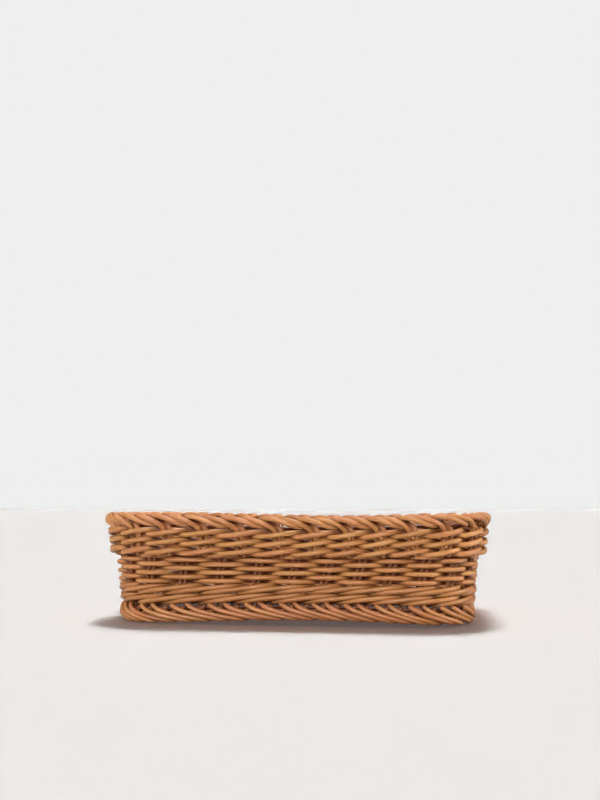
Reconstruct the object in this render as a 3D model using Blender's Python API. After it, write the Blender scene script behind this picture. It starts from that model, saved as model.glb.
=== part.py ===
"""Bread basket, rectangular with rounded corners and flared sides, woven from round strands.

Thirty-six pairs of side stakes stand round a raised woven base. Below the base they turn
outward into the foot border. Round them go two rows of three-rod waling, seven rows of
randing and, on an outer set of short rim rods, three rows of pairing. The rim rods are rolled
over the top edge into the border.

Metres, +Z up. Origin at the middle of the footprint, on the floor. The front is -Y.
"""

import math

import bmesh
import bpy
from mathutils import Vector

NAME = "bread_basket"

# Wall: the line the side stakes stand on, at floor level
HALF_LENGTH = 0.135
HALF_WIDTH = 0.090
CORNER_RADIUS = 0.036
FLARE = 0.12  # metres outward for each metre up
FOOT_ARCH, ARCH_PLACE = 0.0026, 0.8  # each long side stands this far off the floor in its middle
RIM_DIP, DIP_PLACE = 0.0034, 2.3  # and its rim dips this much, a little to the right
LEVEL = 0.040  # height that is neither raised nor lowered
LONG_SIDE_REACH = 5.0  # spacings from such a place to where the side is level again

# Stakes
PAIRS = 36
FRONT_PITCH = 0.0266  # one spacing on the long sides
CORNER_PAIRS = 2.75  # spacings in each quarter turn, where the stakes crowd together
LEAN, LEAN_SWING = 9.0, 3.2  # spacings to the right for each metre up, and how much it varies
LEAN_REACH = 0.020  # the lean fades out this far above and below LEVEL
SPREAD, SIDE_TURN = 0.15, 9  # the spacing opens and closes once along each side
GROUP = 3  # pairs of rods joined in one border section
STAKE_SPLIT = 0.075  # each rod of a pair to the pair's middle, in spacings
RIM_SPLIT = 0.11
STAKE_WALL = (  # height, distance outside the stake line
    (0.0720, -0.0020),
    (0.0535, -0.0004),
    (0.0400, 0.0),
    (0.0270, 0.0),
    (0.0145, 0.0),
)

# Strands
STRAND = 0.0017  # radius
CORE = 0.0012  # radius of the laid-in ends that hold a border section together

# Waling, randing and pairing: height of the lowest row, and row to row
WALE_Z, WALE_PITCH, WALE_ROWS = 0.0190, 0.0071, 2
RANDING_Z, RANDING_PITCH, RANDING_ROWS = 0.0329, 0.0034, 7
PAIRING_Z, PAIRING_PITCH, PAIRING_ROWS = 0.0577, 0.0068, 3
WEAVE = 0.0036  # strand middle to stake line where it passes a stake
PAIRING_RISE = 0.00145  # half the climb of a pairing strand past a rod
RIM_OFFSET = 0.0048  # rim rods stand this far outside the side stakes
HALF_PASS = 0.25  # a strand keeps its side of a stake this many spacings each way

# Base mat
BASE_Z, BASE_THICKNESS = 0.0150, 0.0050
BASE_INSET = 0.0056  # mat edge to stake line
ARC_STEPS = 6

# Steps of a rod's path: (spacings sideways, height, distance outside its stake line)
RIM_ROD_FOOT = 0.0550
RIM_ROD_BEND = 0.0725
RIM_STROKE = (
    (0.00, 0.0795, -0.0006),
    (0.10, 0.0834, 0.0002),
    (0.28, 0.0830, 0.0028),
    (0.65, 0.0801, 0.0041),
    (1.02, 0.0772, 0.0037),
)
RIM_TURN = {-1: -0.28, 1: 0.0}  # sideways lean before the left and right rod turn over
RIM_CORE = (0.0778, 0.0007)  # height, distance outside the rim rods
RIM_CORE_ENDS = (-0.36, 0.15)  # spacings past the first and last pair of a section

FOOT_STROKE = (
    (0.00, 0.0118, 0.0015),
    (0.35, 0.0076, 0.0042),
    (0.75, 0.0036, 0.0045),
    (1.12, 0.0010, 0.0038),
)
FOOT_TURN = {-1: -0.25, 1: 0.10}
FOOT_CORE = (0.0122, 0.0004)
FOOT_CORE_ENDS = (-0.30, 0.16)
FLOOR_DEPTH = 0.010

SIDES = (
    "front_mid", "front_right", "corner_front_right", "right_end", "corner_back_right",
    "back_right", "back_mid", "back_left", "corner_back_left", "left_end",
    "corner_front_left", "front_left",
)

HONEY = (0.55, 0.29, 0.12)
TAN = (0.48, 0.23, 0.10)


def clear_scene():
    for obj in list(bpy.data.objects):
        bpy.data.objects.remove(obj, do_unlink=True)


def collection(name):
    group = bpy.data.collections.new(name)
    bpy.context.scene.collection.children.link(group)
    return group


def material(name, colour, roughness=0.45):
    mat = bpy.data.materials.new(name)
    mat.use_nodes = True
    shader = mat.node_tree.nodes["Principled BSDF"]
    shader.inputs["Base Color"].default_value = (*colour, 1.0)
    shader.inputs["Roughness"].default_value = roughness
    shader.inputs["Metallic"].default_value = 0.0
    return mat


def outline(w):
    """Point and outward direction on the stake line, w spacings round from the front middle.

    The second half of the way round is the first half turned by 180 degrees.
    """
    straight_x, straight_y = HALF_LENGTH - CORNER_RADIUS, HALF_WIDTH - CORNER_RADIUS
    pitch, front = FRONT_PITCH, straight_x / FRONT_PITCH
    end = PAIRS / 2 - 2 * front - 2 * CORNER_PAIRS
    turn, v = divmod(w, PAIRS / 2)
    if v < front:
        point, out = Vector((v * pitch, -HALF_WIDTH)), Vector((0, -1))
    elif v < front + CORNER_PAIRS:
        angle = (v - front) / CORNER_PAIRS * math.pi / 2
        out = Vector((math.sin(angle), -math.cos(angle)))
        point = Vector((straight_x, -straight_y)) + CORNER_RADIUS * out
    elif v < front + CORNER_PAIRS + end:
        along = (v - front - CORNER_PAIRS) * 2 * straight_y / end
        point, out = Vector((HALF_LENGTH, along - straight_y)), Vector((1, 0))
    elif v < front + 2 * CORNER_PAIRS + end:
        angle = (v - front - CORNER_PAIRS - end) / CORNER_PAIRS * math.pi / 2
        out = Vector((math.cos(angle), math.sin(angle)))
        point = Vector((straight_x, straight_y)) + CORNER_RADIUS * out
    else:
        along = (v - front - 2 * CORNER_PAIRS - end) * pitch
        point, out = Vector((straight_x - along, HALF_WIDTH)), Vector((0, 1))
    if turn % 2:
        return -point, -out
    return point, out


def leaning(w, z):
    """Where stake place w comes at height z: uneven spacing, and stakes leaning to the right."""
    turn = 2 * math.pi * w / SIDE_TURN
    up = LEAN_REACH * math.tanh((z - LEVEL) / LEAN_REACH)
    return w + SPREAD * (0.33 + math.cos(turn)) + (LEAN + LEAN_SWING * math.sin(turn)) * up


def long_side(w, place):
    """1 at a place on the front and behind it on the back, falling to 0 towards the corners."""
    away = min(
        abs((w - p + PAIRS / 2) % PAIRS - PAIRS / 2) for p in (place, PAIRS / 2 - place)
    )
    return math.cos(math.pi / 2 * min(away / LONG_SIDE_REACH, 1)) ** 2


def on_wall(w, z, off):
    """World point at height z, off metres outside the stake line, w spacings round."""
    place = leaning(w, z)
    point, out = outline(place)
    point = point + out * (FLARE * z + off)
    height = z + FOOT_ARCH * long_side(place, ARCH_PLACE) * max(1 - z / LEVEL, 0)
    height -= RIM_DIP * long_side(place, DIP_PLACE) * max(z / LEVEL - 1, 0) / 1.1
    return Vector((point.x, point.y, height))


def strand_curve(name, points, cyclic, radius=STRAND):
    """Square-sided tube through the points, flat side out on a level ring."""
    curve = bpy.data.curves.new(name, "CURVE")
    curve.dimensions = "3D"
    curve.twist_mode = "Z_UP" if cyclic else "MINIMUM"
    curve.bevel_depth = radius
    curve.bevel_resolution = 0
    curve.use_fill_caps = not cyclic
    spline = curve.splines.new("POLY")
    spline.points.add(len(points) - 1)
    for knot, point in zip(spline.points, points):
        knot.co = (*point, 1.0)
        knot.tilt = math.pi / 4
    spline.use_cyclic_u = cyclic
    return bpy.data.objects.new(name, curve)


def ring(name, strand_points, mat, group):
    """One weaving strand round the whole basket: two points at every stake."""
    points = [p for i in range(PAIRS) for p in strand_points(i)]
    obj = strand_curve(name, points, cyclic=True)
    obj.data.materials.append(mat)
    group.objects.link(obj)


def randing(row, mat, group):
    """In front of one pair of stakes, behind the next."""
    z = RANDING_Z + row * RANDING_PITCH

    def past(i):
        side = 1 if (i + row) % 2 == 0 else -1
        return [on_wall(i + d, z, side * WEAVE) for d in (-HALF_PASS, HALF_PASS)]

    ring(f"randing_row_{row + 1}", past, mat, group)


def pairing(row, strand, mat, group):
    """Two strands twisted round each pair of rim rods, rising across the front of it."""
    z = PAIRING_Z + row * PAIRING_PITCH

    def past(i):
        side = 1 if (i + strand) % 2 == 0 else -1
        return [
            on_wall(i + 0.5 + d, z + 4 * d * side * PAIRING_RISE, RIM_OFFSET + side * WEAVE)
            for d in (-HALF_PASS, HALF_PASS)
        ]

    ring(f"pairing_row_{row + 1}_strand_{'ab'[strand]}", past, mat, group)


def waling(row, strand, mat, group):
    """Three strands, each in front of two pairs, rising, and back down behind the third."""
    z = WALE_Z + row * WALE_PITCH
    rise = WALE_PITCH / 2

    def past(i):
        place = (i - strand) % 3
        points = []
        for d in (-HALF_PASS, HALF_PASS):
            t = place - 0.5 + d
            climb = rise * (t if place < 2 else 3 - 2 * t)
            points.append(on_wall(i + d, z + climb, WEAVE if place < 2 else -WEAVE))
        return points

    ring(f"waling_row_{row + 1}_strand_{'abc'[strand]}", past, mat, group)


def rim_rod(pair, side):
    """Path of one rim rod: up through the pairing, over the edge and down to the right."""
    w = pair + 0.5 + side * RIM_SPLIT
    path = [on_wall(w, RIM_ROD_FOOT, RIM_OFFSET), on_wall(w, RIM_ROD_BEND, RIM_OFFSET)]
    turn = w + RIM_TURN[side]
    path += [on_wall(turn + dw, z, RIM_OFFSET + off) for dw, z, off in RIM_STROKE]
    return path


def stake_rod(pair, side):
    """Path of one side stake: down the wall, out below the base and along the floor."""
    w = pair + side * STAKE_SPLIT
    path = [on_wall(w, z, off) for z, off in STAKE_WALL]
    turn = w + FOOT_TURN[side]
    path += [on_wall(turn + dw, z, off) for dw, z, off in FOOT_STROKE]
    return path


def to_mesh(obj):
    """The object's evaluated shape as a mesh, caps welded on."""
    bpy.context.scene.collection.objects.link(obj)
    graph = bpy.context.evaluated_depsgraph_get()
    mesh = bpy.data.meshes.new_from_object(obj.evaluated_get(graph))
    bpy.data.objects.remove(obj)
    shape = bmesh.new()
    shape.from_mesh(mesh)
    bmesh.ops.remove_doubles(shape, verts=shape.verts, dist=1e-6)
    bmesh.ops.recalc_face_normals(shape, faces=shape.faces)
    shape.to_mesh(mesh)
    shape.free()
    return mesh


def joined(meshes):
    """Several closed meshes in one, each left as it is."""
    shape = bmesh.new()
    for mesh in meshes:
        shape.from_mesh(mesh)
    mesh = bpy.data.meshes.new("joined")
    shape.to_mesh(mesh)
    shape.free()
    return mesh


def boolean(mesh, other, operation):
    """Exact union or difference of two closed meshes."""
    target = bpy.data.objects.new("target", mesh)
    tool = bpy.data.objects.new("tool", other)
    bpy.context.scene.collection.objects.link(tool)
    step = target.modifiers.new(operation.lower(), "BOOLEAN")
    step.object, step.operation, step.solver = tool, operation, "EXACT"
    result = to_mesh(target)
    bpy.data.objects.remove(tool)
    return result


def floor_block():
    """A block below the floor, which cuts the strokes flat where the basket stands."""
    bpy.ops.mesh.primitive_cube_add(size=1)
    block = bpy.context.object
    mesh = block.data
    bpy.data.objects.remove(block)
    for vertex in mesh.vertices:
        vertex.co.x *= 4 * HALF_LENGTH
        vertex.co.y *= 4 * HALF_LENGTH
        vertex.co.z = (vertex.co.z - 0.5) * FLOOR_DEPTH
    return mesh


def section(name, paths, core_path, mat, group, floor=None):
    """Neighbouring rods of a border, joined by the laid-in ends inside it."""
    rods = joined([to_mesh(strand_curve("rod", path, cyclic=False)) for path in paths])
    core = to_mesh(strand_curve("core", core_path, cyclic=False, radius=CORE))
    mesh = boolean(core, rods, "UNION")
    if floor:
        mesh = boolean(mesh, floor, "DIFFERENCE")
    mesh.name = name
    mesh.materials.clear()
    mesh.materials.append(mat)
    mesh.shade_smooth()
    group.objects.link(bpy.data.objects.new(name, mesh))


def rim_section(index, mat, group):
    pairs = range(GROUP * index - 1, GROUP * index + 2)
    z, off = RIM_CORE
    start = pairs[0] + 0.5 + RIM_CORE_ENDS[0]
    finish = pairs[-1] + 0.5 + RIM_CORE_ENDS[1]
    steps = 2 * GROUP
    core = [
        on_wall(start + (finish - start) * k / steps, z, RIM_OFFSET + off)
        for k in range(steps + 1)
    ]
    paths = [rim_rod(pair, side) for pair in pairs for side in (-1, 1)]
    section(f"rim_border_{SIDES[index]}", paths, core, mat, group)


def foot_section(index, mat, group, floor):
    pairs = range(GROUP * index - 1, GROUP * index + 2)
    z, off = FOOT_CORE
    start, finish = pairs[0] + FOOT_CORE_ENDS[0], pairs[-1] + FOOT_CORE_ENDS[1]
    steps = 2 * GROUP
    core = [
        on_wall(start + (finish - start) * k / steps, z, off) for k in range(steps + 1)
    ]
    paths = [stake_rod(pair, side) for pair in pairs for side in (-1, 1)]
    section(f"stakes_and_foot_{SIDES[index]}", paths, core, mat, group, floor)


def base_mat(mat, group):
    """The raised base as a flat plate inside the waling."""
    curve = bpy.data.curves.new("base_mat", "CURVE")
    curve.dimensions = "2D"
    curve.fill_mode = "BOTH"
    curve.extrude = BASE_THICKNESS / 2
    spline = curve.splines.new("POLY")
    outline_points = []
    straight = Vector((HALF_LENGTH - CORNER_RADIUS, HALF_WIDTH - CORNER_RADIUS))
    radius = CORNER_RADIUS + FLARE * BASE_Z - BASE_INSET
    for quarter, (sx, sy) in enumerate(((1, 1), (-1, 1), (-1, -1), (1, -1))):
        for step in range(ARC_STEPS + 1):
            angle = (quarter + step / ARC_STEPS) * math.pi / 2
            outline_points.append(
                (
                    sx * straight.x + radius * math.cos(angle),
                    sy * straight.y + radius * math.sin(angle),
                )
            )
    spline.points.add(len(outline_points) - 1)
    for knot, (x, y) in zip(spline.points, outline_points):
        knot.co = (x, y, 0.0, 1.0)
    spline.use_cyclic_u = True
    plate = bpy.data.objects.new("base_mat", curve)
    mesh = to_mesh(plate)
    mesh.name = "base_mat"
    mesh.materials.append(mat)
    obj = bpy.data.objects.new("base_mat", mesh)
    obj.location.z = BASE_Z + BASE_THICKNESS / 2
    group.objects.link(obj)


def main():
    clear_scene()
    basket = collection(NAME)
    weaver = material("weaver_strand", HONEY)
    stake = material("stake_strand", TAN)
    border = material("border_strand", HONEY)
    base = material("base_strand", TAN)
    base_mat(base, basket)
    for row in range(WALE_ROWS):
        for strand in range(3):
            waling(row, strand, weaver, basket)
    for row in range(RANDING_ROWS):
        randing(row, weaver, basket)
    for row in range(PAIRING_ROWS):
        for strand in range(2):
            pairing(row, strand, weaver, basket)
    floor = floor_block()
    for index in range(PAIRS // GROUP):
        foot_section(index, stake, basket, floor)
        rim_section(index, border, basket)


main()
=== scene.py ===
"""Looks of the bread basket: every strand at full roundness, its material, floor, light and camera.

The strands follow the same wall, stakes and rows as the CAD model, in metres. Places round the
wall are counted in stake spacings, w, from the middle of the front and growing to the right.
"""

import math
import random

import bpy
import numpy as np
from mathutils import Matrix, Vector


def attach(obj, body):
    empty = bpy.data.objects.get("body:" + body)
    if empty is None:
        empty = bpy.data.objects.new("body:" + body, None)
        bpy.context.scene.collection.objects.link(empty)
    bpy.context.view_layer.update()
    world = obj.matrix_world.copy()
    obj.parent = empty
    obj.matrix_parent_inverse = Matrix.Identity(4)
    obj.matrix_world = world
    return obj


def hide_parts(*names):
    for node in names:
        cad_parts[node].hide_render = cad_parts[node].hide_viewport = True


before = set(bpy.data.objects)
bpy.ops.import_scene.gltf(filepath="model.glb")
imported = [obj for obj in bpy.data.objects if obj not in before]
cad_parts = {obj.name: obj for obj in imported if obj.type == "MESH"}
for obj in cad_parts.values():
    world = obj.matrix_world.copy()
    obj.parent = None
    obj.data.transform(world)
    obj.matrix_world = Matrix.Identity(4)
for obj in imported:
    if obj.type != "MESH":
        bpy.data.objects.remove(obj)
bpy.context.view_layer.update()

# Wall, as in the CAD model
HALF_LENGTH, HALF_WIDTH, CORNER_RADIUS = 0.135, 0.090, 0.036
FLARE = 0.12
PAIRS, GROUP = 36, 3
FRONT_PITCH, CORNER_PAIRS = 0.0266, 2.75
LEAN, LEAN_SWING, LEAN_REACH = 9.0, 3.2, 0.020  # stake spacings to the right for each metre up
LEAN_MIDDLE = 0.040
SPREAD, SIDE_TURN = 0.15, 9  # the spacing opens and closes once along each side
RIM_OFFSET = 0.0048
FOOT_ARCH, ARCH_PLACE = 0.0040, 0.8  # each long side stands this much off the floor in its middle
RIM_DIP, DIP_PLACE = 0.0032, 0.6  # and its rim dips this much, a little to the right
LEVEL = 0.040  # height that is neither raised nor lowered
LONG_SIDE_REACH = 6.2

# Strands
WALE_RADIUS, RANDING_RADIUS, PAIRING_RADIUS = 0.00188, 0.00175, 0.00194
STAKE_RADIUS, RIM_RADIUS = 0.00160, 0.00188
FOOT_SWELL = 0.00018  # the stakes' butts are thicker
STAKE_GAP, RIM_GAP = 0.0039, 0.0057  # between the two rods of a pair
PASS = 0.0035  # strand middle to stake line where it passes a stake
WALE_ROWS, RANDING_ROWS, PAIRING_ROWS = (0.0191, 0.0265), (0.0329, 0.0034, 7), (0.0568, 0.0641, 0.0713)
WALE_STEP = 0.0033  # one waling strand above the next
WALE_SEEN = 1.8  # spacings for which a waling strand shows outside
PAIRING_RISE = 0.0019
BACK_DROP, BACK_SWELL = 0.0020, 0.08  # the pairing sits lower along the back and is thicker there

# Drawing
SIDES = 12
STEPS_PER_PAIR = 14
ROD_STEPS = 9

NAMES = (
    "front_mid", "front_right", "corner_front_right", "right_end", "corner_back_right",
    "back_right", "back_mid", "back_left", "corner_back_left", "left_end",
    "corner_front_left", "front_left",
)

rng = random.Random(7)
basket = bpy.data.collections.new("bread_basket")
bpy.context.scene.collection.children.link(basket)
STAKE_SHIFT = [rng.uniform(-0.018, 0.018) for _ in range(PAIRS)]


# ---------------------------------------------------------------- wall

def outline(w):
    """Points and outward directions on the stake line at the floor, for an array of w."""
    w = np.asarray(w, float)
    sx, sy = HALF_LENGTH - CORNER_RADIUS, HALF_WIDTH - CORNER_RADIUS
    pitch = FRONT_PITCH
    front = sx / pitch
    end = PAIRS / 2 - 2 * front - 2 * CORNER_PAIRS
    v = np.mod(w, PAIRS / 2)
    turn = 1 - 2 * np.mod(np.floor_divide(w, PAIRS / 2), 2)
    a1 = np.clip((v - front) / CORNER_PAIRS, 0, 1) * np.pi / 2
    a2 = np.clip((v - front - CORNER_PAIRS - end) / CORNER_PAIRS, 0, 1) * np.pi / 2
    angle = a1 + a2
    out = np.stack([np.sin(angle), -np.cos(angle)], -1)
    x = np.minimum(v, front) * pitch
    x = x - np.clip(v - front - 2 * CORNER_PAIRS - end, 0, None) * pitch
    y = -sy + np.clip(v - front - CORNER_PAIRS, 0, end) * 2 * sy / end
    point = np.stack([x, y], -1) + CORNER_RADIUS * out
    return point * turn[..., None], out * turn[..., None]


def long_side(w, place):
    """1 at a place on the front and behind it on the back, falling to 0 towards the corners."""
    away = [np.abs(np.mod(w - p + PAIRS / 2, PAIRS) - PAIRS / 2) for p in (place, PAIRS / 2 - place)]
    return np.cos(np.pi / 2 * np.clip(np.minimum(*away) / LONG_SIDE_REACH, 0, 1)) ** 2


def leaning(w, z):
    """Where stake place w comes at height z: uneven spacing, and stakes that lean to the right."""
    turn = 2 * np.pi * w / SIDE_TURN
    up = LEAN_REACH * np.tanh((z - LEAN_MIDDLE) / LEAN_REACH)
    return w + SPREAD * (0.33 + np.cos(turn)) + (LEAN + LEAN_SWING * np.sin(turn)) * up


def on_wall(w, z, off):
    """World points at height z, off outside the stake line, w spacings round."""
    w, z, off = np.broadcast_arrays(np.asarray(w, float), z, off)
    turned = leaning(w, z)
    point, out = outline(turned)
    point = point + out * (FLARE * z + off)[..., None]
    height = z + FOOT_ARCH * long_side(turned, ARCH_PLACE) * np.clip(1 - z / LEVEL, 0, None)
    height = height - RIM_DIP * long_side(turned, DIP_PLACE) * np.clip(z / LEVEL - 1, 0, None) / 1.1
    return np.concatenate([point, height[..., None]], -1)


def outward(w, z):
    """Directions straight out of the wall."""
    return outline(leaning(w, z))[1]


def spacing(w, z):
    """Metres for one stake spacing at that place."""
    a, b = on_wall(w - 0.05, z, 0.0), on_wall(w + 0.05, z, 0.0)
    return float(np.linalg.norm(b - a)) / 0.1


def drift(seed, w, size):
    """A slow, closed, seeded wander round the basket, as hand weaving has."""
    r = random.Random(seed)
    total = np.zeros_like(w)
    for turns in (2, 3, 5, 8, 13, 21):
        total += r.uniform(-1, 1) * np.sin(2 * np.pi * turns * w / PAIRS + r.uniform(0, 6.283))
    return total * size / 2.4


def shifted(w):
    """w with the stakes' own uneven spacing."""
    knots = np.arange(-1, PAIRS + 2)
    shift = [STAKE_SHIFT[k % PAIRS] for k in knots]
    return w + np.interp(np.mod(w, PAIRS), knots, shift)


# ---------------------------------------------------------------- tubes

def smooth(points, steps):
    """A Catmull-Rom curve through the points, steps to a span."""
    p = np.asarray(points, float)
    p = np.vstack([2 * p[0] - p[1], p, 2 * p[-1] - p[-2]])
    t = np.linspace(0, 1, steps, endpoint=False)[:, None]
    spans = []
    for a, b, c, d in zip(p, p[1:], p[2:], p[3:]):
        spans.append(
            0.5 * (2 * b + (c - a) * t + (2 * a - 5 * b + 4 * c - d) * t**2
                   + (3 * b - a - 3 * c + d) * t**3)
        )
    return np.vstack([*spans, p[-2]])


def frames(path, closed):
    """Unit tangents and two cross directions along a path, without needless twist."""
    if closed:
        tangent = np.roll(path, -1, 0) - np.roll(path, 1, 0)
    else:
        tangent = np.gradient(path, axis=0)
    tangent /= np.linalg.norm(tangent, axis=1)[:, None]
    first = np.cross(tangent[0], (0.0, 0.0, 1.0))
    if np.linalg.norm(first) < 0.2:
        first = np.cross(tangent[0], (1.0, 0.0, 0.0))
    normals = [first / np.linalg.norm(first)]
    for t in tangent[1:]:
        n = normals[-1] - t * normals[-1].dot(t)
        normals.append(n / np.linalg.norm(n))
    normals = np.array(normals)
    if closed:  # spread what is left of the turn over the whole ring
        last = normals[-1] - tangent[0] * normals[-1].dot(tangent[0])
        twist = math.atan2(np.dot(np.cross(last, normals[0]), tangent[0]), last.dot(normals[0]))
        turn = (np.linspace(0, twist, len(path)))[:, None]
        other = np.cross(tangent, normals)
        normals = normals * np.cos(turn) + other * np.sin(turn)
    return tangent, normals, np.cross(tangent, normals)


class Strands:
    """Round tubes gathered in one mesh, with each point's place on its strand and its painted shade kept for
    the material.
    """

    def __init__(self, sides=SIDES):
        self.points, self.faces, self.places, self.painted_shades = [], [], [], []
        self.count, self.sides = 0, sides

    def add(self, path, radius, closed=False, wall=None):
        """wall gives outward directions and distances off the wall's middle, to find where the strand faces
        into the wall, which gets painted shade.
        """
        seed = rng.random()
        path = np.asarray(path, float)
        tangent, across, other = frames(path, closed)
        n = len(path)
        length = np.concatenate([[0], np.cumsum(np.linalg.norm(np.diff(path, axis=0), axis=1))])
        waver = 1 + 0.035 * np.sin(length * 95 + seed * 60) + 0.02 * np.sin(length * 230 + seed * 90)
        if closed:
            waver = np.ones(n) + 0.03 * np.sin(np.arange(n) * 2 * np.pi * 17 / n + seed * 60)
        r = radius * (0.97 + 0.06 * seed) * waver
        if not closed:  # rounded cut ends
            path, r, length, across, other = self._round_ends(path, r, length, tangent, across, other)
            n = len(path)
        sides = self.sides
        angle = np.arange(sides) * 2 * np.pi / sides
        ring = across[:, None] * np.cos(angle)[None, :, None] + other[:, None] * np.sin(angle)[None, :, None]
        points = path[:, None] + ring * r[:, None, None]
        painted_shade = np.zeros((n, sides))
        if wall is not None:
            out, off = wall
            if not closed:
                out, off = np.pad(out, ((2, 2), (0, 0)), "edge"), np.pad(off, 2, "edge")
            # painted shade: mark the side of the strand that faces into the wall, more the further it lies off
            # the wall's middle
            facing = (ring[..., :2] * out[:, None]).sum(-1)
            painted_shade = np.clip(-facing * off[:, None] / PASS, 0, 1)
        place = np.zeros((n, sides, 3))
        place[..., 0] = length[:, None]
        place[..., 1] = angle[None] / (2 * np.pi)
        place[..., 2] = seed
        start = self.count
        index = start + np.arange(n * sides).reshape(n, sides)
        rows = n if closed else n - 1
        for i in range(rows):
            a, b = index[i], index[(i + 1) % n]
            self.faces += [
                (a[j], a[(j + 1) % sides], b[(j + 1) % sides], b[j]) for j in range(sides)
            ]
        if not closed:
            self.faces.append(tuple(index[0][::-1]))
            self.faces.append(tuple(index[-1]))
        self.points.append(points.reshape(-1, 3))
        self.places.append(place.reshape(-1, 3))
        self.painted_shades.append(painted_shade.ravel())
        self.count += n * sides

    def _round_ends(self, path, r, length, tangent, across, other):
        ends = ((0.62, 0.55), (0.9, 0.25), (1.0, 0.0))
        head = [path[0] - tangent[0] * (r[0] * back) for _, back in ends]
        tail = [path[-1] + tangent[-1] * (r[-1] * back) for _, back in ends[::-1]]
        path = np.vstack([head[:2], path, tail[1:]])
        r = np.concatenate([[r[0] * 0.62, r[0] * 0.9], r, [r[-1] * 0.9, r[-1] * 0.62]])
        length = np.concatenate([[length[0]] * 2, length, [length[-1]] * 2])
        across = np.vstack([across[:1], across[:1], across, across[-1:], across[-1:]])
        other = np.vstack([other[:1], other[:1], other, other[-1:], other[-1:]])
        return path, r, length, across, other

    def build(self, name, nodes, material):
        mesh = bpy.data.meshes.new(name)
        mesh.from_pydata(np.vstack(self.points).tolist(), [], [tuple(map(int, f)) for f in self.faces])
        mesh.shade_smooth()
        place = mesh.attributes.new("place", "FLOAT_VECTOR", "POINT")
        place.data.foreach_set("vector", np.vstack(self.places).ravel())
        # the painted shade mask goes to the material as an attribute
        painted_shade = mesh.attributes.new("painted_shade", "FLOAT", "POINT")
        painted_shade.data.foreach_set("value", np.concatenate(self.painted_shades))
        mesh.materials.append(material)
        mesh.update()
        obj = bpy.data.objects.new(name, mesh)
        basket.objects.link(obj)
        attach(obj, "root")
        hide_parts(*nodes)
        return obj


# ---------------------------------------------------------------- weaving strands

def swing(turns, firmness=1.5):
    """+1 in front, -1 behind, once each way for every 2 of turns, lingering at both ends."""
    return np.tanh(firmness * np.cos(np.pi * turns)) / np.tanh(firmness)


def ramp(t):
    """-1 to 1 while t goes from -0.5 to 0.5, and back down to 1.5, with softened turns."""
    t = np.mod(t + 0.5, 2.0) - 0.5
    up = np.where(t < 0.5, 2 * t, 2 - 2 * t)
    return np.sin(np.clip(up, -1, 1) * np.pi / 2) * 0.35 + 0.65 * up


def round_the_wall():
    return np.linspace(0, PAIRS, PAIRS * STEPS_PER_PAIR, endpoint=False)


def randing(row, material):
    first, pitch, _ = RANDING_ROWS
    w = round_the_wall()
    z = first + pitch * row + drift(100 + row, w, 0.00028)
    off = PASS * swing(w + row) + drift(200 + row, w, 0.0002)
    strand = Strands()
    w = shifted(w)
    strand.add(on_wall(w, z, off), RANDING_RADIUS, True, (outward(w, z), off))
    name = f"randing_row_{row + 1}"
    strand.build(name + "_strand", [name], material)


def pairing(row, which, material):
    w = round_the_wall()
    t = w - which
    z = PAIRING_ROWS[row] + PAIRING_RISE * ramp(t) + drift(300 + row, w, 0.00025)
    back = np.clip(1.5 * np.cos((w - PAIRS / 2) * 2 * np.pi / PAIRS), 0, 1)
    z = z - BACK_DROP * back
    off = (PASS + 0.0003) * swing(t + 0.09) + drift(400 + 2 * row + which, w, 0.0002)
    strand = Strands()
    w = shifted(w + 0.5)
    thick = PAIRING_RADIUS * (1 + BACK_SWELL * back)
    strand.add(on_wall(w, z, RIM_OFFSET + off), thick, True, (outward(w, z), off))
    name = f"pairing_row_{row + 1}_strand_{'ab'[which]}"
    strand.build(name + "_round", [name], material)


def waling(row, which, material):
    w = round_the_wall()
    t = np.mod(w - which - 0.5 + 1.0, 3.0) - 1.0  # in front while t is -1 to 1, behind to 2
    climb = np.where(t < 1, t, 3 - 2 * t)
    z = WALE_ROWS[row] + WALE_STEP * climb + drift(500 + row, w, 0.00025)
    u = np.mod(t + WALE_SEEN / 2, 3.0)
    face = np.where(u < WALE_SEEN, np.sin(np.pi * np.clip(u / WALE_SEEN, 0, 1)),
                    -np.sin(np.pi * (u - WALE_SEEN) / (3 - WALE_SEEN)))
    off = (PASS + 0.0002) * np.tanh(1.9 * face) / np.tanh(1.9) + drift(600 + 3 * row + which, w, 0.0002)
    strand = Strands()
    w = shifted(w)
    strand.add(on_wall(w, z, off), WALE_RADIUS, True, (outward(w, z), off))
    name = f"waling_row_{row + 1}_strand_{'abc'[which]}"
    strand.build(name + "_round", [name], material)


# ---------------------------------------------------------------- rods and borders

RIM_LEFT = (  # spacings from the pair's left rod, height, off the rim rods' line
    (0.00, 0.0541, 0.0), (0.00, 0.0605, 0.0), (0.00, 0.0670, 0.0), (0.00, 0.0715, 0.0002),
    (-0.03, 0.0746, 0.0010), (-0.10, 0.0767, 0.0024), (-0.20, 0.0788, 0.0037), (-0.34, 0.0807, 0.0044),
    (-0.47, 0.0821, 0.0041), (-0.61, 0.0831, 0.0029), (-0.74, 0.0837, 0.0010), (-0.87, 0.0836, -0.0012),
    (-0.99, 0.0829, -0.0034), (-1.10, 0.0817, -0.0052), (-1.21, 0.0801, -0.0060),
)
RIM_RIGHT = (
    (0.00, 0.0541, 0.0), (0.00, 0.0605, 0.0), (0.00, 0.0670, 0.0), (-0.01, 0.0712, 0.0002),
    (-0.04, 0.0738, 0.0002), (-0.10, 0.0760, -0.0005), (-0.20, 0.0780, -0.0020),
    (-0.32, 0.0800, -0.0032), (-0.45, 0.0818, -0.0033), (-0.54, 0.0828, -0.0027),
    (-0.62, 0.0834, -0.0015),
)
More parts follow.
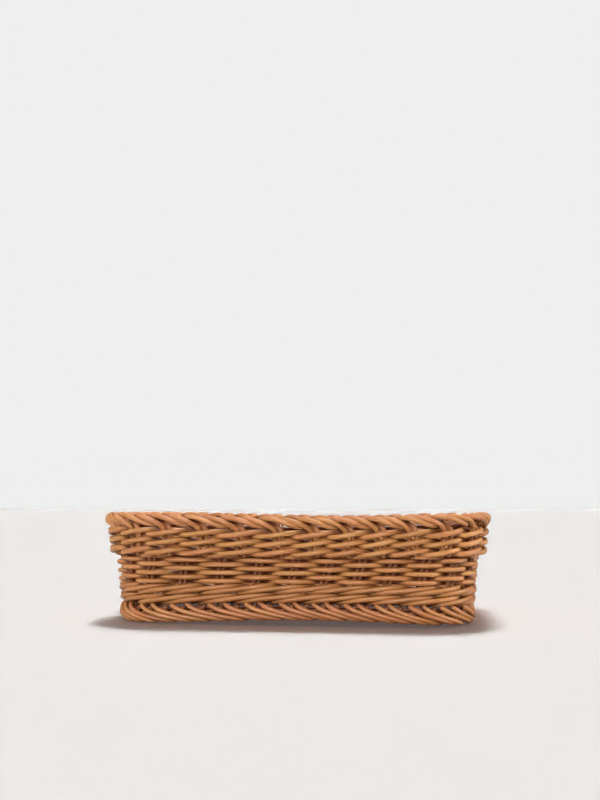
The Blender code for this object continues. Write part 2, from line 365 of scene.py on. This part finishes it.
RIM_OVER = (  # the right rod, from the top, over and down to the right, the end tucked in
    (0.12, 0.0837, 0.0005), (0.26, 0.0836, 0.0025), (0.40, 0.0830, 0.0038), (0.55, 0.0819, 0.0046),
    (0.72, 0.0801, 0.0047), (0.86, 0.0786, 0.0041), (0.98, 0.0777, 0.0028), (1.09, 0.0772, 0.0008),
    (1.18, 0.0770, -0.0012),
)


def rim_rod(pair, side):
    """Up through the pairing; the left rod lies outside and goes in over the edge, the right comes out."""
    w = pair + 0.5
    half = RIM_GAP / 2 / spacing(w, 0.06)
    start = w + side * half
    lift, reach = rng.uniform(-0.0003, 0.0003), rng.uniform(0.96, 1.04)
    if side < 0:
        return [(start + dw * reach, z, RIM_OFFSET + off) for dw, z, off in RIM_LEFT]
    path = [(start + dw, z, RIM_OFFSET + off) for dw, z, off in RIM_RIGHT]
    top = path[-1][0]
    path += [(top + dw * reach, z + lift, RIM_OFFSET + off) for dw, z, off in RIM_OVER]
    return path


FOOT_STROKE = (  # out under the waling, down to the right outside, then up to the right inside
    (0.00, 0.0142, 0.0018), (0.10, 0.0123, 0.0035), (0.26, 0.0100, 0.0045), (0.50, 0.0078, 0.0049),
    (0.80, 0.0056, 0.0049), (1.10, 0.0038, 0.0043), (1.38, 0.0024, 0.0030), (1.58, 0.0021, 0.0010),
    (1.76, 0.0038, -0.0006), (1.98, 0.0068, -0.0010), (2.20, 0.0097, -0.0012), (2.34, 0.0116, -0.0014),
)
RIM_PACKING = ((0.0763, -0.0004),)
ROD_DEPTH = 0.0012  # a rod in the line of the wall is taken to lie this deep behind its strands, for its painted shade
PACKING = ((0.0044, -0.0046), (0.0078, -0.0050), (0.0111, -0.0046))  # height and place of the laid-in strands


def stake_rod(pair, side):
    """Down the wall, out under the waling, down to the right, and in under the foot."""
    w = pair
    half = STAKE_GAP / 2 / spacing(w, 0.04)
    s = side * half
    path = [(w + s, 0.0775, -0.0024), (w + s, 0.0660, -0.0020), (w + s, 0.0560, -0.0008),
            (w + s, 0.0480, 0.0), (w + s, 0.0310, 0.0), (w + s, 0.0220, 0.0),
            (w + s, 0.0172, 0.0002)]
    turn = w + (-0.22 if side < 0 else 0.20)
    reach = rng.uniform(0.96, 1.04)
    path += [(turn + dw * reach, z, off) for dw, z, off in FOOT_STROKE]
    return path


def rods(kind, maker, radius, index, material):
    """One section of a border: three pairs of rods, each a strand of its own."""
    strands = Strands()
    for pair in range(GROUP * index - 1, GROUP * index + 2):
        for side in (-1, 1):
            w, z, off = np.array(maker(pair, side)).T
            centre = pair + (0.5 if maker is rim_rod else 0.0)
            shift = float(shifted(np.array([centre % PAIRS]))[0] - centre % PAIRS)
            knots = np.stack([w + shift, z, off], -1)
            w, z, off = smooth(knots, ROD_STEPS).T
            thick = radius + FOOT_SWELL * np.clip((0.019 - z) / 0.007, 0, 1)
            middle = RIM_OFFSET if maker is rim_rod else 0.0
            # painted shade on the rods' sides that face into the wall
            strands.add(on_wall(w, z, off), thick, wall=(outward(w, z), off - middle - ROD_DEPTH))
    for z, off in PACKING if maker is stake_rod else RIM_PACKING:
        w = np.linspace(GROUP * index - 1.6, GROUP * index + 1.6, 60)
        z = z + 0.0004 * np.sin(w * 4.1 + off * 900)
        # the laid-in strands lie behind, so the painted shade darkens their outer side
        strands.add(on_wall(w, z, off), STAKE_RADIUS, wall=(outward(w, z), np.full(len(w), -PASS)))
    node = f"{kind}_{NAMES[index]}"
    strands.build(node + "_rods", [node], material)


# ---------------------------------------------------------------- base

BASE_Z, BASE_INSET = 0.0172, 0.0058
STICK_RADIUS, MAT_RADIUS = 0.00135, 0.00138
STICKS, STICK_GAP = 12, 0.0030
MAT_PITCH = 0.00262
MAT_SIDES, MAT_STEPS = 8, 68


def base_reach(across, half_along, half_across, radius):
    """How far the base runs each way at a distance across from its middle line."""
    over = max(0.0, abs(across) - (half_across - radius))
    return half_along - radius + math.sqrt(max(radius**2 - over**2, 0.0))


def base(material):
    """Pairs of sticks along the base, with strands woven across them."""
    grow = FLARE * BASE_Z - BASE_INSET
    half_x, half_y, radius = HALF_LENGTH + grow, HALF_WIDTH + grow, CORNER_RADIUS + grow
    strands = Strands(MAT_SIDES)
    pitch = 2 * half_y / STICKS
    middles = [-half_y + pitch * (k + 0.5) for k in range(STICKS)]
    for middle in middles:
        for side in (-1, 1):
            y = middle + side * STICK_GAP / 2
            reach = base_reach(y, half_x, half_y, radius)
            x = np.linspace(-reach, reach, 40)
            strands.add(np.stack([x, np.full(40, y), np.full(40, BASE_Z)], -1), STICK_RADIUS)
    count = int(2 * (half_x - 0.002) / MAT_PITCH)
    for k in range(count):
        x = (k - (count - 1) / 2) * MAT_PITCH
        reach = base_reach(x, half_y, half_x, radius)
        y = np.linspace(-reach, reach, MAT_STEPS)
        over = np.arcsin(0.97 * np.cos(np.pi * ((y + half_y) / pitch - 0.5 + k))) / (np.pi / 2)
        z = BASE_Z + over * (STICK_RADIUS + MAT_RADIUS)
        strands.add(np.stack([np.full(MAT_STEPS, x), y, z], -1), MAT_RADIUS)
    strands.build("base_woven", ["base_mat"], material)


# ---------------------------------------------------------------- material

PAINTED_SHADE_TINT = (0.26, 0.09, 0.03)  # painted shade: how much darker a strand is painted where it faces into the wall


def strand_material(name, light, dark, pink, wall=None):
    """Smooth satin strand: streaks along it, slow patches, each strand its own tone, and painted shade where
    it faces into the wall.
    """
    mat = bpy.data.materials.new(name)
    mat.use_nodes = True
    tree = mat.node_tree
    nodes, links = tree.nodes, tree.links
    shader = nodes["Principled BSDF"]
    place = nodes.new("ShaderNodeAttribute")
    place.attribute_name = "place"
    split = nodes.new("ShaderNodeSeparateXYZ")
    links.new(place.outputs["Vector"], split.inputs[0])

    def maths(kind, a, b, c=None):
        node = nodes.new("ShaderNodeMath")
        node.operation = kind
        for socket, value in zip(node.inputs, (a, b, c)):
            if value is None:
                continue
            if isinstance(value, (int, float)):
                socket.default_value = value
            else:
                links.new(value, socket)
        return node.outputs[0]

    def noise(x, y, z, scale, detail, rough=0.5):
        vector = nodes.new("ShaderNodeCombineXYZ")
        for socket, value in zip(vector.inputs, (x, y, z)):
            if isinstance(value, (int, float)):
                socket.default_value = value
            else:
                links.new(value, socket)
        node = nodes.new("ShaderNodeTexNoise")
        node.inputs["Scale"].default_value = scale
        node.inputs["Detail"].default_value = detail
        node.inputs["Roughness"].default_value = rough
        links.new(vector.outputs[0], node.inputs["Vector"])
        return node.outputs["Fac"]

    def mix(factor, a, b, blend="MIX"):
        node = nodes.new("ShaderNodeMix")
        node.data_type = "RGBA"
        node.blend_type = blend
        for key, value in (("Factor", factor), ("A", a), ("B", b)):
            socket = next(s for s in node.inputs if s.name == key and s.enabled)
            if isinstance(value, (int, float)):
                socket.default_value = value
            elif isinstance(value, tuple):
                socket.default_value = (*value, 1.0)
            else:
                links.new(value, socket)
        return next(s for s in node.outputs if s.enabled)

    along, round_it, seed = split.outputs
    turn = maths("MULTIPLY", round_it, 2 * math.pi)
    cos, sin = maths("COSINE", turn, 0.0), maths("SINE", turn, 0.0)
    far = maths("MULTIPLY", seed, 37.0)
    # fine fibres: tight round the strand, long along it
    fibre_along = maths("MULTIPLY_ADD", along, 22.0, far)
    fibres = noise(fibre_along, cos, sin, 5.0, 5.0, 0.6)
    # slow patches of tone, a few centimetres long
    patch = noise(maths("MULTIPLY_ADD", along, 38.0, far), maths("MULTIPLY", cos, 0.4),
                  maths("MULTIPLY", sin, 0.4), 1.0, 2.0)
    # knots and scuffs: small dark flecks
    fleck = noise(maths("MULTIPLY_ADD", along, 260.0, far), maths("MULTIPLY", cos, 1.3),
                  maths("MULTIPLY", sin, 1.3), 1.4, 3.0, 0.7)

    def ramp_of(value, low, high):
        node = nodes.new("ShaderNodeMapRange")
        node.inputs["From Min"].default_value = low
        node.inputs["From Max"].default_value = high
        links.new(value, node.inputs["Value"])
        return node.outputs["Result"]

    tone = mix(ramp_of(seed, 0.15, 0.85), light, pink)
    tone = mix(maths("MULTIPLY", ramp_of(patch, 0.38, 0.66), 0.55), tone, dark)
    tone = mix(maths("MULTIPLY", ramp_of(fibres, 0.50, 0.72), 0.30), tone, dark)
    tone = mix(maths("MULTIPLY", ramp_of(fleck, 0.64, 0.74), 0.35), tone, tuple(0.5 * c for c in dark))
    if wall:  # painted shade: a stake is painted darker up in the wall, where the weaving shades it, than in the foot
        tone = mix(ramp_of(along, 0.055, 0.066), mix(1.0, tone, wall, "MULTIPLY"), tone)
    # painted shade: darken the tone where the strand faces into the wall
    painted_shade = nodes.new("ShaderNodeAttribute")
    painted_shade.attribute_name = "painted_shade"
    tone = mix(maths("MULTIPLY", painted_shade.outputs["Fac"], 0.95), tone, mix(1.0, tone, PAINTED_SHADE_TINT, "MULTIPLY"))
    links.new(tone, shader.inputs["Base Color"])
    links.new(maths("MULTIPLY_ADD", fibres, 0.22, 0.30), shader.inputs["Roughness"])
    shader.inputs["Specular IOR Level"].default_value = 0.34
    shader.inputs["Coat Weight"].default_value = 0.08
    shader.inputs["Coat Roughness"].default_value = 0.35
    bump = nodes.new("ShaderNodeBump")
    bump.inputs["Strength"].default_value = 0.35
    bump.inputs["Distance"].default_value = 0.00025
    links.new(fibres, bump.inputs["Height"])
    links.new(bump.outputs["Normal"], shader.inputs["Normal"])
    return mat


# ---------------------------------------------------------------- stage

YAW = math.radians(8.2)  # the basket's right front corner is turned towards the camera
CAMERA_DISTANCE, CAMERA_HEIGHT, CAMERA_SIDE = 0.867, 0.0895, -0.0035
CAMERA_TILT = math.radians(6.15)
LENS = 45.0
FRONT_RISE = 0.46  # the front light comes in low, so the inside of the far wall stays dark
PALE = 0.863  # background and lit floor
AMBIENT = (0.090, 0.066, 0.052)  # the studio's own light on the basket


def in_view(x, y):
    """A point given sideways and away from the camera, turned into the basket's frame."""
    c, s = math.cos(YAW), math.sin(YAW)
    return x * c - y * s, x * s + y * c


def stage():
    world = bpy.data.worlds.new("studio")
    world.use_nodes = True
    tree = world.node_tree
    seen = tree.nodes["Background"]
    seen.inputs["Color"].default_value = (PALE, PALE, PALE, 1)
    light = tree.nodes.new("ShaderNodeBackground")
    light.inputs["Color"].default_value = (*AMBIENT, 1)
    rays, both = tree.nodes.new("ShaderNodeLightPath"), tree.nodes.new("ShaderNodeMixShader")
    tree.links.new(rays.outputs["Is Camera Ray"], both.inputs[0])
    tree.links.new(light.outputs[0], both.inputs[1])
    tree.links.new(seen.outputs[0], both.inputs[2])
    tree.links.new(both.outputs[0], tree.nodes["World Output"].inputs["Surface"])
    bpy.context.scene.world = world
    bpy.context.scene.view_settings.view_transform = "Standard"

    bpy.ops.mesh.primitive_circle_add(vertices=96, radius=60, fill_type="NGON")
    floor = bpy.context.object
    floor.name = "floor"
    mat = bpy.data.materials.new("floor")
    mat.use_nodes = True
    shader = mat.node_tree.nodes["Principled BSDF"]
    shader.inputs["Base Color"].default_value = (0.80, 0.80, 0.80, 1)
    shader.inputs["Roughness"].default_value = 0.9
    shader.inputs["Specular IOR Level"].default_value = 0.0
    floor.data.materials.append(mat)

    def sun(name, x, y, height, strength, angle, colour=(1, 1, 1)):
        light = bpy.data.lights.new(name, "SUN")
        light.energy, light.angle, light.color = strength, math.radians(angle), colour
        obj = bpy.data.objects.new(name, light)
        bpy.context.scene.collection.objects.link(obj)
        px, py = in_view(x, y)
        direction = np.array([-px, -py, -height])
        obj.rotation_mode = "QUATERNION"
        obj.rotation_quaternion = Vector(direction).to_track_quat("-Z", "Y")
        return obj

    sun("top", 0.04, 0.34, 1.0, 2.0, 14)
    sun("top_wide", 0.0, 0.30, 1.0, 0.85, 34)
    on_floor = bpy.data.collections.new("floor")
    on_floor.objects.link(floor)
    fill = sun("floor_fill", 0.0, -1.0, 0.5, 0.80, 20, (1.0, 0.84, 0.84))  # it casts no shadow
    fill.light_linking.receiver_collection = fill.light_linking.blocker_collection = on_floor
    for light in (sun("front", -0.25, -1.0, FRONT_RISE, 2.9, 16), sun("right", 1.0, -0.15, 0.45, 2.9, 25),
                  sun("left", -1.0, -0.15, 0.45, 1.2, 25)):
        light.light_linking.receiver_collection = basket

    camera = bpy.data.cameras.new("camera")
    camera.lens = LENS
    camera.sensor_width = 36
    obj = bpy.data.objects.new("camera", camera)
    bpy.context.scene.collection.objects.link(obj)
    x, y = in_view(CAMERA_SIDE, -CAMERA_DISTANCE)
    obj.location = (x, y, CAMERA_HEIGHT)
    obj.rotation_euler = (math.pi / 2 + CAMERA_TILT, 0, YAW)
    bpy.context.scene.camera = obj


def main():
    weaver = strand_material("weaver_strand", (0.46, 0.216, 0.066), (0.28, 0.104, 0.024), (0.45, 0.185, 0.066))
    # painted shade: the waling's tones are darker copies of the weaver's, for the shade on the lower wall
    shaded_wale = strand_material("waling_strand_painted_shade", (0.40, 0.175, 0.052), (0.24, 0.082, 0.018), (0.38, 0.150, 0.052))
    # the stake's last colour is painted shade on the stakes up in the wall
    stake = strand_material("stake_strand", (0.45, 0.192, 0.066), (0.26, 0.092, 0.025), (0.43, 0.165, 0.064), (0.66, 0.58, 0.60))
    border = strand_material("border_strand", (0.46, 0.208, 0.066), (0.28, 0.100, 0.024), (0.45, 0.180, 0.068))
    for row in range(len(WALE_ROWS)):
        for which in range(3):
            waling(row, which, shaded_wale)
    for row in range(RANDING_ROWS[2]):
        randing(row, weaver)
    for row in range(len(PAIRING_ROWS)):
        for which in range(2):
            pairing(row, which, weaver)
    for index in range(PAIRS // GROUP):
        rods("stakes_and_foot", stake_rod, STAKE_RADIUS, index, stake)
        rods("rim_border", rim_rod, RIM_RADIUS, index, border)
    base(strand_material("base_strand", (0.40, 0.180, 0.058), (0.25, 0.092, 0.024), (0.38, 0.155, 0.056)))
    stage()


main()
